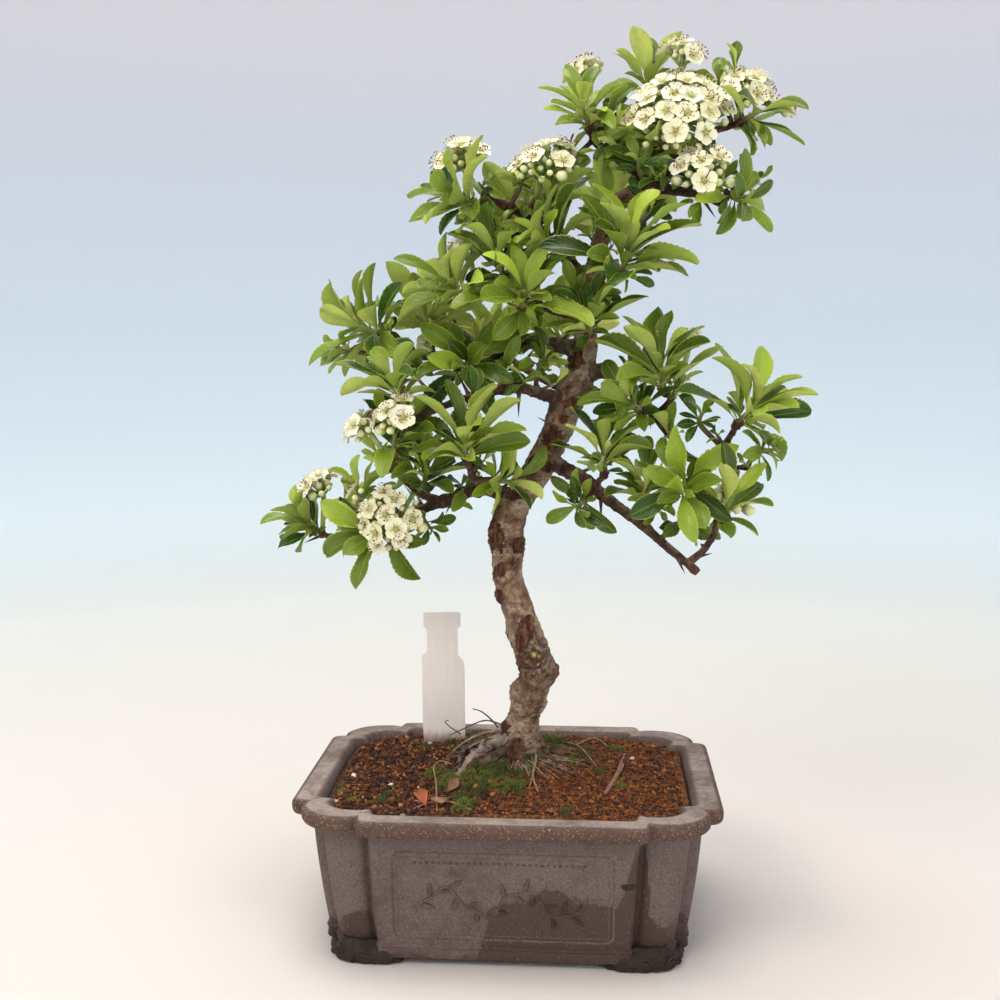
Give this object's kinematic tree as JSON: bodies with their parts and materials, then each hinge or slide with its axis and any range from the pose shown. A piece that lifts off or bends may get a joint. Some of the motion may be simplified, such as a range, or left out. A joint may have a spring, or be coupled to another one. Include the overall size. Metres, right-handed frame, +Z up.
{
  "type": "pyracantha bonsai",
  "caption": "Small potted bonsai tree with a bent trunk, thorny branches, leafy shoots and cream flower heads, growing in soil in a low footed stoneware pot with a blank plant label",
  "frame": {"origin": "centre of the bounding box at its bottom, which is the pot's centre at the level of its feet", "axes": "+Z up, +X to the right along the pot's long side and -Y towards the viewer of the front face"},
  "size_m": [0.2268, 0.132, 0.3619],
  "materials": {
    "stoneware": "unglazed, rough",
    "soil": "loose grains, matt",
    "bark": "rough bark",
    "leaf": "semi gloss leaf",
    "petal": "matt petal",
    "label_plastic": "frosted translucent"
  },
  "bodies": {
    "root": {"pot": "stoneware", "soil": "soil", "trunk_and_branches": "bark", "plant_label": "label_plastic", "leafy_shoot_a": "leaf", "leafy_shoot_aa": "leaf", "leafy_shoot_ab": "leaf", "leafy_shoot_ac": "leaf", "leafy_shoot_ad": "leaf", "leafy_shoot_ae": "leaf", "leafy_shoot_af": "leaf", "leafy_shoot_ag": "leaf", "leafy_shoot_ah": "leaf", "leafy_shoot_ai": "leaf", "leafy_shoot_aj": "leaf", "leafy_shoot_ak": "leaf", "leafy_shoot_al": "leaf", "leafy_shoot_b": "leaf", "leafy_shoot_c": "leaf", "leafy_shoot_d": "leaf", "leafy_shoot_e": "leaf", "leafy_shoot_f": "leaf", "leafy_shoot_g": "leaf", "leafy_shoot_h": "leaf", "leafy_shoot_i": "leaf", "leafy_shoot_j": "leaf", "leafy_shoot_k": "leaf", "leafy_shoot_l": "leaf", "leafy_shoot_m": "leaf", "leafy_shoot_n": "leaf", "leafy_shoot_o": "leaf", "leafy_shoot_p": "leaf", "leafy_shoot_q": "leaf", "leafy_shoot_r": "leaf", "leafy_shoot_s": "leaf", "leafy_shoot_t": "leaf", "leafy_shoot_u": "leaf", "leafy_shoot_v": "leaf", "leafy_shoot_w": "leaf", "leafy_shoot_x": "leaf", "leafy_shoot_y": "leaf", "leafy_shoot_z": "leaf", "flower_head_a": "petal", "flower_head_b": "petal", "flower_head_c": "petal", "flower_head_d": "petal", "flower_head_e": "petal", "flower_head_f": "petal", "flower_head_g": "petal", "flower_head_h": "petal", "flower_head_i": "petal", "flower_head_j": "petal", "flower_head_k": "petal", "flower_head_l": "petal", "flower_head_m": "petal", "flower_head_n": "petal", "flower_head_o": "petal", "flower_head_p": "petal", "flower_head_q": "petal"}
  },
  "joints": []
}
